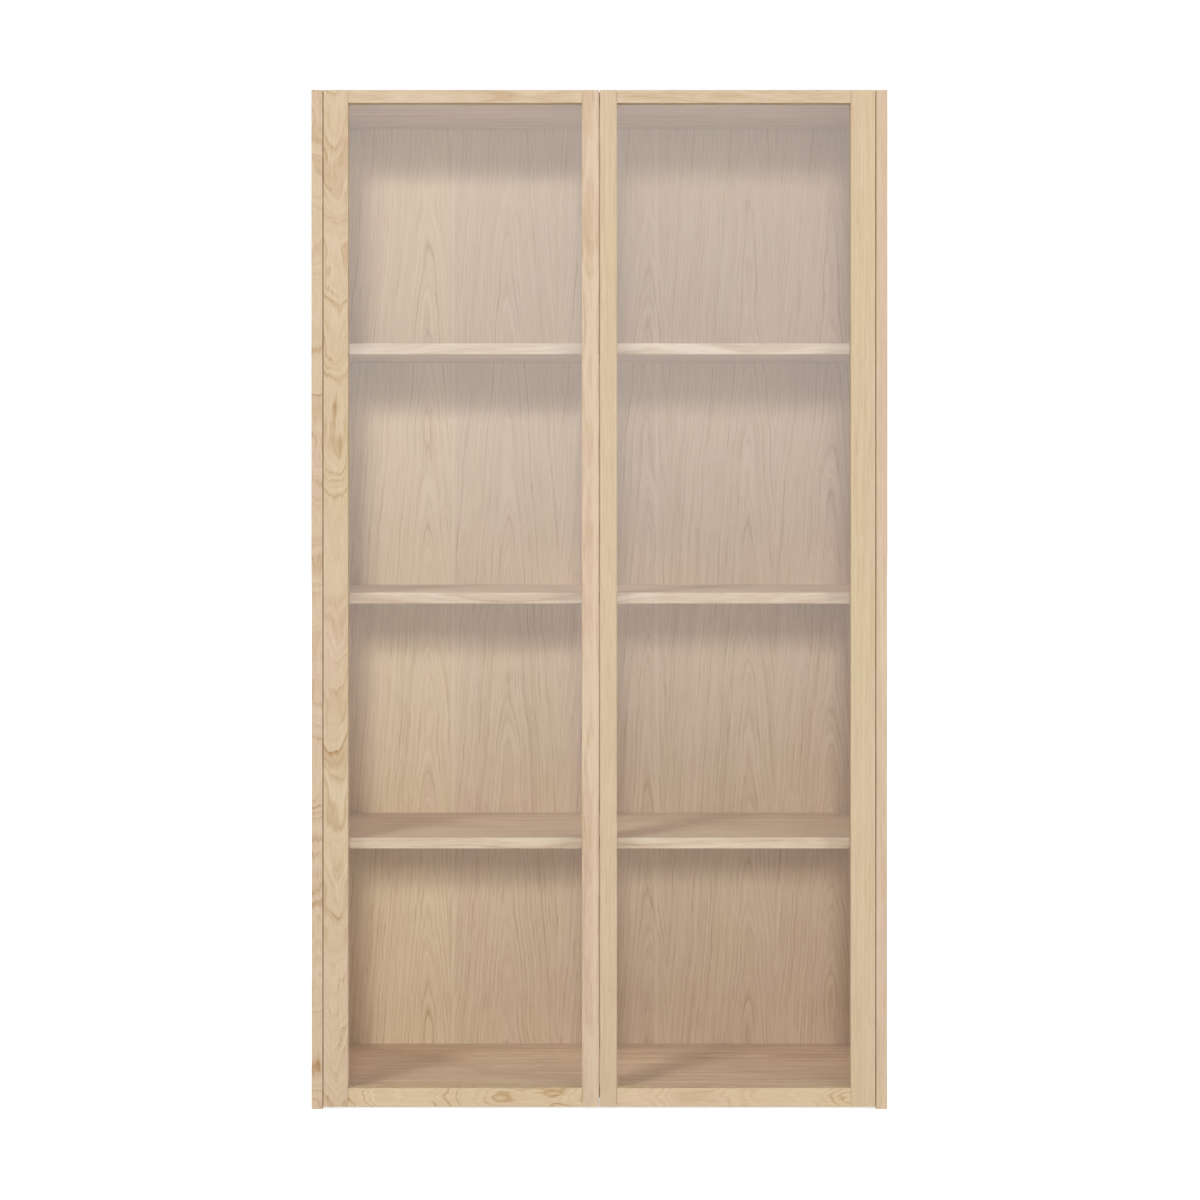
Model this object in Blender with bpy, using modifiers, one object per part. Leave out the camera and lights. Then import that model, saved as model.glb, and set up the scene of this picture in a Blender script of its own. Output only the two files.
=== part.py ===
"""Tall display cabinet with two framed glass doors set between its sides, in metres with +Z up.

The origin is the centre of the cabinet's outline on the floor. The front looks along -Y.
Plan positions of the hinge mechanism are measured from the inner face of a gable (u) and from the
front plane (v), and are the same for both doors, because each hinge is symmetric about mid height.
"""

import math

import bmesh
import bpy
from mathutils import Matrix, Vector

# Cabinet body
WIDTH = 1.200
DEPTH = 0.376
HEIGHT = 2.124
GABLE_THICKNESS = 0.023
TOP_THICKNESS = 0.023
BOTTOM_THICKNESS = 0.023
BOTTOM_TOP_HEIGHT = 0.040
BACK_THICKNESS = 0.008
BACK_SETBACK = 0.008
GROOVE_DEPTH = 0.006
FRONT_RELIEF = 0.003

# Shelves, with the clear heights counted up from the bottom panel
SHELF_THICKNESS = 0.023
SHELF_SETBACK = 0.0075
SHELF_END_GAP = 0.001
SHELF_BACK_GAP = 0.0005
SHELF_CLEAR_HEIGHTS = {"lower": 0.498, "middle": 0.491, "upper": 0.500}
SHELF_PIN_RADIUS = 0.0025
SHELF_PIN_PEG_RADIUS = 0.0035
SHELF_PIN_SHANK = 0.010
SHELF_PIN_PEG = 0.009
SHELF_PIN_INSET = 0.037

# Dowels that join the top and bottom panels to the gables
DOWEL_RADIUS = 0.004
DOWEL_LENGTH = 0.010
DOWEL_INSET = 0.045

# Doors
DOOR_THICKNESS = 0.022
DOOR_SIDE_GAP = 0.0016
DOOR_CENTRE_GAP = 0.0016
DOOR_FLOOR_GAP = 0.005
HINGE_STILE_WIDTH = 0.0514
CLOSING_STILE_WIDTH = 0.0357
TOP_RAIL_HEIGHT = 0.027
BOTTOM_RAIL_HEIGHT = 0.039
REBATE_WIDTH = 0.008
REBATE_DEPTH = 0.010
TENON_LENGTH = 0.015
TENON_THICKNESS = 0.007
TENON_SHOULDER = 0.005
TENON_FRONT = 0.003
GLASS_THICKNESS = 0.004
GLASS_EDGE_GAP = 0.0015
ARRIS = 0.0008

# Hinge cup, let into the hinge stile
HINGES_PER_DOOR = 4
HINGE_END_DISTANCE = 0.100
CUP_RADIUS = 0.0175
CUP_EDGE_DISTANCE = 0.005
CUP_DEPTH = 0.013
CUP_WALL = 0.0008
FLANGE_RADIUS = 0.0195
FLANGE_THICKNESS = 0.001
EAR_WIDTH = 0.014
EAR_LENGTH = 0.060
EAR_CORNER = 0.004
EAR_SCREW_PITCH = 0.045
EAR_SCREW_OFFSET = 0.0095
EAR_HOLE_RADIUS = 0.0021

# Hinge pins and link. A pin's offset is measured from the cup's centre, or behind the door's back.
HINGE_PIN_RADIUS = 0.00125
CUP_PIN_OFFSET = 0.0082
CUP_PIN_DEPTH = 0.0088
ARM_PIN_FROM_GABLE = 0.0405
ARM_PIN_BEHIND_DOOR = 0.012
LINK_WIDTH = 0.010
LINK_THICKNESS = 0.0022
LINK_EYE_RADIUS = 0.0028
LINK_BEND_START = 0.0051
LINK_BEND_END = 0.0106
LINK_ABOVE_FLOOR = 0.0022
LINK_CORNER = 0.0035

# Hinge arm and its mounting plate on the gable
ARM_WIDTH = 0.0148
ARM_HALF_HEIGHT = 0.0034
ARM_SHEET = 0.0015
ARM_NECK = 0.0068
ARM_CORNER = 0.006
FORK_LENGTH = 0.004
PLATE_THICKNESS = 0.0025
PLATE_START = 0.044
PLATE_LENGTH = 0.044
PLATE_LANDING = 0.0147
PLATE_WIDTH = 0.018
WING_LENGTH = 0.050
WING_WIDTH = 0.014
PLATE_SCREW_PITCH = 0.032
PLATE_HOLE_RADIUS = 0.0025

# Push latch under the top panel
LATCH_WIDTH = 0.014
LATCH_LENGTH = 0.050
LATCH_HEIGHT = 0.012
LATCH_CORNER = 0.002
LATCH_SETBACK = 0.007
PLUNGER_RADIUS = 0.003
PLUNGER_CAP_RADIUS = 0.0045
PLUNGER_CAP = 0.003
PLUNGER_CHAMFER = 0.0006
PLUNGER_LENGTH = 0.028
PLUNGER_TRAVEL = 0.0025

# Clearances: SEAT between pieces that touch, SKIM between the faces of shapes that are joined
SEAT = 0.0003
SKIM = 0.00005
OVERCUT = 0.005
HOLE_END_GAP = 0.001
MERGE = 0.00001

# Facets of round shapes
CUP_STEPS = 24
PIN_STEPS = 12
WIRE_STEPS = 8
CORNER_STEPS = 3

# Worked out from the sizes above
FRONT = -DEPTH / 2
REAR = DEPTH / 2
INNER_X = WIDTH / 2 - GABLE_THICKNESS
PANEL_FRONT = FRONT + DOOR_THICKNESS + FRONT_RELIEF
BACK_REAR = REAR - BACK_SETBACK
BACK_FRONT = BACK_REAR - BACK_THICKNESS
TOP_UNDERSIDE = HEIGHT - TOP_THICKNESS
SHELF_FRONT = FRONT + DOOR_THICKNESS + SHELF_SETBACK
SHELF_BACK = BACK_FRONT - SHELF_BACK_GAP
DOOR_OUTER = INNER_X - DOOR_SIDE_GAP
DOOR_INNER = DOOR_CENTRE_GAP / 2
DOOR_BACK = FRONT + DOOR_THICKNESS
GLAZING_OUTER = DOOR_OUTER - HINGE_STILE_WIDTH
GLAZING_INNER = DOOR_INNER + CLOSING_STILE_WIDTH
GLAZING_BOTTOM = DOOR_FLOOR_GAP + BOTTOM_RAIL_HEIGHT
GLAZING_TOP = HEIGHT - TOP_RAIL_HEIGHT
CUP_CENTRE = (DOOR_SIDE_GAP + CUP_EDGE_DISTANCE + CUP_RADIUS, DOOR_THICKNESS)
CUP_FLOOR = DOOR_THICKNESS - CUP_DEPTH + CUP_WALL
CUP_PIN = (CUP_CENTRE[0] - CUP_PIN_OFFSET, DOOR_THICKNESS - CUP_PIN_DEPTH)
ARM_PIN = (ARM_PIN_FROM_GABLE, DOOR_THICKNESS + ARM_PIN_BEHIND_DOOR)
LATCH_FRONT = DOOR_THICKNESS + LATCH_SETBACK
LATCH_X = DOOR_INNER + CLOSING_STILE_WIDTH / 2
LATCH_Z = TOP_UNDERSIDE - SEAT - LATCH_HEIGHT / 2


def clear_scene():
    """Remove every object that the file holds."""
    for obj in list(bpy.data.objects):
        bpy.data.objects.remove(obj, do_unlink=True)


def make_collection(name):
    """Make a collection under the scene's own."""
    collection = bpy.data.collections.new(name)
    bpy.context.scene.collection.children.link(collection)
    return collection


def make_material(name, colour, roughness, metallic=0.0, transmission=0.0):
    """Make a Principled material."""
    material = bpy.data.materials.new(name)
    material.use_nodes = True
    shader = material.node_tree.nodes["Principled BSDF"]
    shader.inputs["Base Color"].default_value = (*colour, 1.0)
    shader.inputs["Roughness"].default_value = roughness
    shader.inputs["Metallic"].default_value = metallic
    shader.inputs["Transmission Weight"].default_value = transmission
    return material


clear_scene()
PARTS = make_collection("display_cabinet")
CUTTERS = make_collection("cutters")
OAK = make_material("oak", (0.66, 0.50, 0.33), 0.55)
OAK_VENEER = make_material("oak_veneer", (0.60, 0.45, 0.31), 0.55)
GLASS = make_material("glass", (0.93, 0.96, 0.95), 0.03, transmission=1.0)
NICKEL = make_material("nickel_steel", (0.62, 0.61, 0.59), 0.3, metallic=1.0)
ZINC = make_material("zinc_pin", (0.70, 0.70, 0.70), 0.35, metallic=1.0)
DARK_PLASTIC = make_material("dark_plastic", (0.05, 0.05, 0.05), 0.5)


def add_box(bm, low, high):
    """Add a box between two corners to a bmesh."""
    low = Vector(low)
    high = Vector(high)
    shape = Matrix.Translation((low + high) / 2) @ Matrix.Diagonal((*(high - low), 1.0))
    bmesh.ops.create_cube(bm, size=1.0, matrix=shape)


def edges_along(bm, axis):
    """Return the edges of a box that run along one axis."""
    number = "xyz".index(axis)
    runs = [(edge, (edge.verts[0].co - edge.verts[1].co).normalized()) for edge in bm.edges]
    return [edge for edge, run in runs if abs(run[number]) > 0.9]


def round_edges(bm, edges, radius, steps):
    """Round the chosen edges, or chamfer them with one step."""
    bmesh.ops.bevel(bm, geom=edges, offset=radius, segments=steps, profile=0.5, affect="EDGES")


def add_rod(bm, start, end, radius, steps):
    """Add a cylinder between two points to a bmesh."""
    start = Vector(start)
    run = Vector(end) - start
    turn = Vector((0, 0, 1)).rotation_difference(run.normalized()).to_matrix().to_4x4()
    shape = Matrix.Translation(start + run / 2) @ turn
    bmesh.ops.create_cone(
        bm, cap_ends=True, segments=steps, radius1=radius, radius2=radius, depth=run.length, matrix=shape
    )


def finish_bmesh(bm, name, collection, material=None):
    """Turn a bmesh into an object at the world's origin."""
    mesh = bpy.data.meshes.new(name)
    bm.to_mesh(mesh)
    bm.free()
    return object_from_mesh(mesh, name, collection, material)


def object_from_mesh(mesh, name, collection, material=None):
    """Link an object that shows a mesh."""
    obj = bpy.data.objects.new(name, mesh)
    collection.objects.link(obj)
    if material is not None and not mesh.materials:
        mesh.materials.append(material)
    return obj


def set_origin(obj, origin):
    """Move an object's origin to a world point and leave its shape where it is."""
    obj.data.transform(Matrix.Translation(-Vector(origin)))
    obj.location = origin


def hang_on(obj, pivot):
    """Parent an object to an empty and leave it where it is."""
    obj.location = Vector(obj.location) - pivot.location
    obj.parent = pivot


def make_pivot(name, location):
    """Make the empty that carries a moving group, on its joint's axis."""
    pivot = bpy.data.objects.new(name, None)
    pivot.location = location
    PARTS.objects.link(pivot)
    return pivot


def board(name, low, high, grain, material=OAK):
    """Make a board between two corners, with its long arrises along the grain eased."""
    bm = bmesh.new()
    add_box(bm, low, high)
    round_edges(bm, edges_along(bm, grain), ARRIS, 1)
    obj = finish_bmesh(bm, name, PARTS, material)
    set_origin(obj, [(a + b) / 2 for a, b in zip(low, high)])
    return obj


def hidden(obj):
    """Keep a helper shape out of the finished model."""
    obj.hide_render = True
    obj.display_type = "WIRE"
    return obj


def make_cutter(name, boxes=(), rods=(), steps=PIN_STEPS):
    """Make one hidden cutter from boxes (low, high) and rods (start, end, radius)."""
    bm = bmesh.new()
    for low, high in boxes:
        add_box(bm, low, high)
    for start, end, radius in rods:
        add_rod(bm, start, end, radius, steps)
    return hidden(finish_bmesh(bm, name, CUTTERS))


def combine(obj, other, operation):
    """Add a live Boolean modifier."""
    modifier = obj.modifiers.new(operation.title(), "BOOLEAN")
    modifier.operation = operation
    modifier.solver = "EXACT"
    modifier.object = other


def baked_mesh(obj, name):
    """Return the object's evaluated mesh in world space, with loose caps welded and faces turned out."""
    bpy.context.view_layer.update()
    evaluated = obj.evaluated_get(bpy.context.evaluated_depsgraph_get())
    mesh = bpy.data.meshes.new_from_object(evaluated)
    mesh.name = name
    mesh.transform(obj.matrix_world)
    bm = bmesh.new()
    bm.from_mesh(mesh)
    bmesh.ops.remove_doubles(bm, verts=bm.verts, dist=MERGE)
    bmesh.ops.recalc_face_normals(bm, faces=bm.faces)
    bm.to_mesh(mesh)
    bm.free()
    mesh.materials.clear()
    return mesh


def mirrored(side, u):
    """Return the X of a distance from the inner face of the gable on one side."""
    return side * (INNER_X - u)


def span(side, inner, outer):
    """Return the low and high X of a stretch between two distances from the centre plane."""
    return tuple(sorted((side * inner, side * outer)))


def hinge_heights():
    """Return the heights of a door's hinges."""
    low = DOOR_FLOOR_GAP + HINGE_END_DISTANCE
    high = HEIGHT - HINGE_END_DISTANCE
    step = (high - low) / (HINGES_PER_DOOR - 1)
    return [low + step * number for number in range(HINGES_PER_DOOR)]


def shelf_tops():
    """Return each shelf's name and the height of its upper face."""
    tops = {}
    level = BOTTOM_TOP_HEIGHT
    for name, clear_height in SHELF_CLEAR_HEIGHTS.items():
        level += clear_height + SHELF_THICKNESS
        tops[name] = level
    return tops


def shelf_pin_places():
    """Return the name, Y and Z of each shelf pin on one gable."""
    places = []
    for name, top in shelf_tops().items():
        z = top - SHELF_THICKNESS - SEAT - SHELF_PIN_PEG_RADIUS
        places.append((name, "front", SHELF_FRONT + SHELF_PIN_INSET, z))
        places.append((name, "rear", SHELF_BACK - SHELF_PIN_INSET, z))
    return places


def dowel_places():
    """Return the Y and Z of each dowel on one gable."""
    front = PANEL_FRONT + DOWEL_INSET
    rear = BACK_FRONT - DOWEL_INSET
    levels = (BOTTOM_TOP_HEIGHT - BOTTOM_THICKNESS / 2, HEIGHT - TOP_THICKNESS / 2)
    return [(y, z) for z in levels for y in (front, (front + rear) / 2, rear)]


def make_gables():
    """Make the two sides, with the back panel's groove and the holes for pins and dowels."""
    for side, name in ((-1, "gable_left"), (1, "gable_right")):
        x_low, x_high = span(side, INNER_X, WIDTH / 2)
        gable = board(name, (x_low, FRONT, 0), (x_high, REAR, HEIGHT), "z")
        groove_low, groove_high = span(side, INNER_X - OVERCUT, INNER_X + GROOVE_DEPTH)
        groove = (
            (groove_low, BACK_FRONT - SEAT, BOTTOM_TOP_HEIGHT - GROOVE_DEPTH),
            (groove_high, BACK_REAR + SEAT, TOP_UNDERSIDE + GROOVE_DEPTH),
        )
        mouth = side * (INNER_X - OVERCUT)
        holes = []
        for _, _, y, z in shelf_pin_places():
            end = side * (INNER_X + SHELF_PIN_SHANK + HOLE_END_GAP)
            holes.append(((mouth, y, z), (end, y, z), SHELF_PIN_RADIUS + SEAT))
        for y, z in dowel_places():
            end = side * (INNER_X + DOWEL_LENGTH + HOLE_END_GAP)
            holes.append(((mouth, y, z), (end, y, z), DOWEL_RADIUS + SEAT))
        combine(gable, make_cutter(name + "_cuts", [groove], holes), "DIFFERENCE")


def make_dowelled_panel(name, z_low, z_high, groove):
    """Make the top or bottom panel with its glued dowels and the groove for the back panel."""
    end = INNER_X - SEAT
    panel = board(name, (-end, PANEL_FRONT, z_low), (end, REAR, z_high), "x")
    dowels = []
    tip = INNER_X + DOWEL_LENGTH
    root = INNER_X - DOWEL_LENGTH
    for y, z in dowel_places():
        if z_low < z < z_high:
            dowels.append(((-tip, y, z), (-root, y, z), DOWEL_RADIUS))
            dowels.append(((root, y, z), (tip, y, z), DOWEL_RADIUS))
    combine(panel, make_cutter(name + "_dowels", rods=dowels), "UNION")
    combine(panel, make_cutter(name + "_groove", boxes=[groove]), "DIFFERENCE")


def make_case():
    """Make the gables, the top and bottom panels and the back panel."""
    make_gables()
    x = WIDTH / 2
    groove_front = BACK_FRONT - SEAT
    groove_rear = BACK_REAR + SEAT
    top_groove = (
        (-x, groove_front, TOP_UNDERSIDE - OVERCUT),
        (x, groove_rear, TOP_UNDERSIDE + GROOVE_DEPTH),
    )
    bottom_groove = (
        (-x, groove_front, BOTTOM_TOP_HEIGHT - GROOVE_DEPTH),
        (x, groove_rear, BOTTOM_TOP_HEIGHT + OVERCUT),
    )
    make_dowelled_panel("top_panel", TOP_UNDERSIDE, HEIGHT, top_groove)
    bottom_underside = BOTTOM_TOP_HEIGHT - BOTTOM_THICKNESS
    make_dowelled_panel("bottom_panel", bottom_underside, BOTTOM_TOP_HEIGHT, bottom_groove)
    reach = GROOVE_DEPTH - SEAT
    board(
        "back_panel",
        (-INNER_X - reach, BACK_FRONT, BOTTOM_TOP_HEIGHT - reach),
        (INNER_X + reach, BACK_REAR, TOP_UNDERSIDE + reach),
        "z",
        OAK_VENEER,
    )


def make_shelves():
    """Make the three shelves and the stepped pins that carry them."""
    end = INNER_X - SHELF_END_GAP
    for name, top in shelf_tops().items():
        board("shelf_" + name, (-end, SHELF_FRONT, top - SHELF_THICKNESS), (end, SHELF_BACK, top), "x")
    profile = [
        (0, SHELF_PIN_PEG),
        (SHELF_PIN_PEG_RADIUS, SHELF_PIN_PEG),
        (SHELF_PIN_PEG_RADIUS, SEAT),
        (SHELF_PIN_RADIUS, SEAT),
        (SHELF_PIN_RADIUS, -SHELF_PIN_SHANK),
        (0, -SHELF_PIN_SHANK),
    ]
    pin_mesh = turned_mesh("shelf_pin", profile, PIN_STEPS)
    for side, side_name in ((-1, "left"), (1, "right")):
        for shelf, place, y, z in shelf_pin_places():
            name = f"shelf_pin_{shelf}_{side_name}_{place}"
            pin = object_from_mesh(pin_mesh, name, PARTS, ZINC)
            pin.location = (side * INNER_X, y, z)
            pin.rotation_euler = (0, -side * math.pi / 2, 0)


def turned_mesh(name, profile, steps):
    """Revolve a profile of (radius, height) about Z and return the mesh."""
    bm = bmesh.new()
    points = [bm.verts.new((radius, 0, height)) for radius, height in profile]
    for first, second in zip(points, points[1:]):
        bm.edges.new((first, second))
    obj = finish_bmesh(bm, name, CUTTERS)
    screw = obj.modifiers.new("Turn", "SCREW")
    screw.steps = steps
    screw.render_steps = steps
    screw.use_merge_vertices = True
    screw.merge_threshold = MERGE
    screw.use_smooth_shade = False
    mesh = baked_mesh(obj, name)
    bpy.data.objects.remove(obj, do_unlink=True)
    return mesh


def rounded_path(points, corner):
    """Return a polyline whose corners are replaced by short curves that start corner away."""
    points = [Vector(point) for point in points]
    path = [points[0]]
    for before, here, after in zip(points, points[1:], points[2:]):
        start = here + (before - here).normalized() * min(corner, (before - here).length / 2)
        end = here + (after - here).normalized() * min(corner, (after - here).length / 2)
        for step in range(CORNER_STEPS + 1):
            t = step / CORNER_STEPS
            path.append(start * (1 - t) ** 2 + here * 2 * t * (1 - t) + end * t**2)
    path.append(points[-1])
    return [path[0]] + [here for before, here in zip(path, path[1:]) if (here - before).length > MERGE]


def strip_outline(path, left, right):
    """Return the closed outline of a strip along a path, left and right of its direction."""
    normals = []
    for number in range(len(path)):
        before = path[max(number - 1, 0)]
        after = path[min(number + 1, len(path) - 1)]
        run = (after - before).normalized()
        normals.append(Vector((-run.y, run.x)))
    first = [point + normal * left for point, normal in zip(path, normals)]
    second = [point - normal * right for point, normal in zip(path, normals)]
    return first + second[::-1]


def flat_mesh(name, outline, half_width):
    """Return the solid of a plan outline that reaches half_width above and below mid height."""
    curve = bpy.data.curves.new(name, "CURVE")
    curve.dimensions = "2D"
    curve.fill_mode = "BOTH"
    curve.extrude = half_width
    spline = curve.splines.new("POLY")
    spline.points.add(len(outline) - 1)
    for point, place in zip(spline.points, outline):
        point.co = (place.x, place.y, 0, 1)
    spline.use_cyclic_u = True
    obj = bpy.data.objects.new(name, curve)
    CUTTERS.objects.link(obj)
    mesh = baked_mesh(obj, name)
    bpy.data.objects.remove(obj, do_unlink=True)
    return mesh


def helper_shape(mesh, name):
    """Link a mesh as a hidden shape, to cut with or to build on."""
    return hidden(object_from_mesh(mesh, name, CUTTERS))


def upright_rod(name, place, radius, half_length, steps=WIRE_STEPS):
    """Make a hidden vertical rod about mid height at a plan position."""
    u, v = place
    return make_cutter(name, rods=[((u, v, -half_length), (u, v, half_length), radius)], steps=steps)


def make_ear(name, way):
    """Return one ear of the cup's flange, above (way 1) or below (way -1) the cup, as a hidden shape."""
    u = CUP_CENTRE[0] + EAR_SCREW_OFFSET
    v = CUP_CENTRE[1] + SEAT
    root = math.sqrt((CUP_RADIUS - CUP_WALL / 2) ** 2 - EAR_SCREW_OFFSET**2)
    z_low, z_high = span(way, root, EAR_LENGTH / 2)
    bm = bmesh.new()
    add_box(
        bm,
        (u - EAR_WIDTH / 2, v + SKIM, z_low),
        (u + EAR_WIDTH / 2, v + FLANGE_THICKNESS - SKIM, z_high),
    )
    tip = way * EAR_LENGTH / 2
    corners = [edge for edge in edges_along(bm, "y") if abs(edge.verts[0].co.z - tip) < MERGE]
    round_edges(bm, corners, EAR_CORNER, CORNER_STEPS)
    return hidden(finish_bmesh(bm, name, CUTTERS))


def make_cup_mesh():
    """Return the pressed cup with its flange, ears and pin, in plan coordinates (u, v)."""
    top = SEAT + FLANGE_THICKNESS
    profile = [
        (0, CUP_WALL - CUP_DEPTH),
        (CUP_RADIUS - CUP_WALL, CUP_WALL - CUP_DEPTH),
        (CUP_RADIUS - CUP_WALL, top),
        (FLANGE_RADIUS, top),
        (FLANGE_RADIUS, SEAT),
        (CUP_RADIUS, SEAT),
        (CUP_RADIUS, -CUP_DEPTH),
        (0, -CUP_DEPTH),
    ]
    mesh = turned_mesh("hinge_cup", profile, CUP_STEPS)
    mesh.transform(Matrix.Translation((*CUP_CENTRE, 0)) @ Matrix.Rotation(-math.pi / 2, 4, "X"))
    cup = helper_shape(mesh, "hinge_cup_pressing")
    u, v = CUP_CENTRE
    for way, name in ((-1, "hinge_ear_low"), (1, "hinge_ear_high")):
        combine(cup, make_ear(name, way), "UNION")
        x = u + EAR_SCREW_OFFSET
        z = way * EAR_SCREW_PITCH / 2
        drill = ((x, v - OVERCUT, z), (x, v + OVERCUT, z), EAR_HOLE_RADIUS)
        combine(cup, make_cutter(name + "_hole", rods=[drill], steps=WIRE_STEPS), "DIFFERENCE")
    pin = upright_rod("hinge_cup_pin", CUP_PIN, HINGE_PIN_RADIUS, CUP_RADIUS)
    core = ((u, v - CUP_DEPTH, 0), (u, v, 0), CUP_RADIUS - CUP_WALL / 2)
    combine(pin, make_cutter("hinge_cup_core", rods=[core], steps=CUP_STEPS), "INTERSECT")
    combine(cup, pin, "UNION")
    return baked_mesh(cup, "hinge_cup")


def make_link_mesh():
    """Return the bent link from the cup pin, along the cup's floor and up to the arm pin."""
    along_floor = CUP_FLOOR + LINK_ABOVE_FLOOR
    points = [
        CUP_PIN,
        (CUP_PIN[0] + LINK_BEND_START, along_floor),
        (CUP_CENTRE[0] + LINK_BEND_END, along_floor),
        ARM_PIN,
    ]
    path = rounded_path(points, LINK_CORNER)
    half = LINK_THICKNESS / 2
    strap = flat_mesh("hinge_link_strap", strip_outline(path, half, half), LINK_WIDTH / 2)
    link = helper_shape(strap, "hinge_link_strap")
    for place, name in ((CUP_PIN, "hinge_link_cup_eye"), (ARM_PIN, "hinge_link_arm_eye")):
        combine(link, upright_rod(name, place, LINK_EYE_RADIUS, LINK_WIDTH / 2 - SKIM, PIN_STEPS), "UNION")
    for place, name in ((CUP_PIN, "hinge_link_cup_hole"), (ARM_PIN, "hinge_link_arm_hole")):
        combine(link, upright_rod(name, place, HINGE_PIN_RADIUS + SEAT, LINK_WIDTH), "DIFFERENCE")
    return baked_mesh(link, "hinge_link")


def arm_path():
    """Return the middle line of the arm from its pin to the end of its plate, half sunk in the plate."""
    u, v = ARM_PIN
    level = SEAT + PLATE_THICKNESS / 2 + ARM_HALF_HEIGHT
    points = [
        ARM_PIN,
        (u, v + ARM_NECK),
        (u - ARM_NECK, v + 2 * ARM_NECK),
        (level, PLATE_START + PLATE_LANDING),
        (level, PLATE_START + PLATE_LENGTH),
    ]
    return rounded_path(points, ARM_CORNER)


def add_plate(arm):
    """Join the winged mounting plate to the arm, and drill it for two screws."""
    plate_end = PLATE_START + PLATE_LENGTH
    middle = (PLATE_START + plate_end) / 2
    base = (
        (SEAT, PLATE_START, -PLATE_WIDTH / 2),
        (SEAT + PLATE_THICKNESS, plate_end - ARM_SHEET, PLATE_WIDTH / 2),
    )
    wings = (
        (SEAT + SKIM, middle - WING_WIDTH / 2, -WING_LENGTH / 2),
        (SEAT + PLATE_THICKNESS - SKIM, middle + WING_WIDTH / 2, WING_LENGTH / 2),
    )
    combine(arm, make_cutter("hinge_plate_base", boxes=[base]), "UNION")
    combine(arm, make_cutter("hinge_plate_wings", boxes=[wings]), "UNION")
    screws = [
        ((-OVERCUT, middle, z), (SEAT + PLATE_THICKNESS + OVERCUT, middle, z), PLATE_HOLE_RADIUS)
        for z in (-PLATE_SCREW_PITCH / 2, PLATE_SCREW_PITCH / 2)
    ]
    combine(arm, make_cutter("hinge_plate_holes", rods=screws, steps=WIRE_STEPS), "DIFFERENCE")


def make_arm_mesh():
    """Return the channel arm, open towards the gable, with its fork, its pin and its mounting plate."""
    u, v = ARM_PIN
    path = arm_path()
    outline = strip_outline(path, ARM_HALF_HEIGHT, ARM_HALF_HEIGHT)
    arm = helper_shape(flat_mesh("hinge_arm_channel", outline, ARM_WIDTH / 2), "hinge_arm_channel")
    nose = upright_rod("hinge_arm_nose", ARM_PIN, ARM_HALF_HEIGHT, ARM_WIDTH / 2 - SKIM, PIN_STEPS)
    combine(arm, nose, "UNION")
    inside = strip_outline(path[1:], ARM_HALF_HEIGHT + ARM_SHEET / 2, ARM_HALF_HEIGHT - ARM_SHEET)
    hollow = flat_mesh("hinge_arm_hollow", inside, ARM_WIDTH / 2 - ARM_SHEET)
    combine(arm, helper_shape(hollow, "hinge_arm_hollow"), "DIFFERENCE")
    slot_half = LINK_WIDTH / 2 + SEAT
    slot = (
        (u - ARM_HALF_HEIGHT - OVERCUT, v - ARM_HALF_HEIGHT - OVERCUT, -slot_half),
        (u + ARM_HALF_HEIGHT + OVERCUT, v + FORK_LENGTH, slot_half),
    )
    combine(arm, make_cutter("hinge_arm_slot", boxes=[slot]), "DIFFERENCE")
    pin = upright_rod("hinge_arm_pin", ARM_PIN, HINGE_PIN_RADIUS, ARM_WIDTH / 2 - ARM_SHEET / 2)
    combine(arm, pin, "UNION")
    add_plate(arm)
    return baked_mesh(arm, "hinge_arm")


def place_hinge_piece(mesh, origin, name, side, height):
    """Place a hinge piece whose mesh has its origin at a plan position.

    The right hand piece is the left hand one turned half round the Y axis.
    """
    obj = object_from_mesh(mesh, name, PARTS, NICKEL)
    obj.location = (mirrored(side, origin[0]), FRONT + origin[1], height)
    if side > 0:
        obj.rotation_euler = (0, math.pi, 0)
    return obj


def make_hinges(pivots):
    """Make the cups, links and arms of both doors."""
    cup_mesh = make_cup_mesh()
    link_mesh = make_link_mesh()
    arm_mesh = make_arm_mesh()
    for mesh, pin in ((cup_mesh, CUP_PIN), (link_mesh, ARM_PIN), (arm_mesh, ARM_PIN)):
        mesh.transform(Matrix.Translation((-pin[0], -pin[1], 0)))
    for side, side_name in ((-1, "left"), (1, "right")):
        door_pivot, link_pivot = pivots[side]
        for number, height in enumerate(hinge_heights(), start=1):
            cup = place_hinge_piece(cup_mesh, CUP_PIN, f"{side_name}_hinge_cup_{number}", side, height)
            hang_on(cup, door_pivot)
            link = place_hinge_piece(link_mesh, ARM_PIN, f"{side_name}_hinge_link_{number}", side, height)
            hang_on(link, link_pivot)
            place_hinge_piece(arm_mesh, ARM_PIN, f"{side_name}_hinge_arm_{number}", side, height)


def tenon_span(low, high):
    """Return the low and high Z of a rail's tenon."""
    return low + TENON_SHOULDER, high - TENON_SHOULDER


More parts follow.
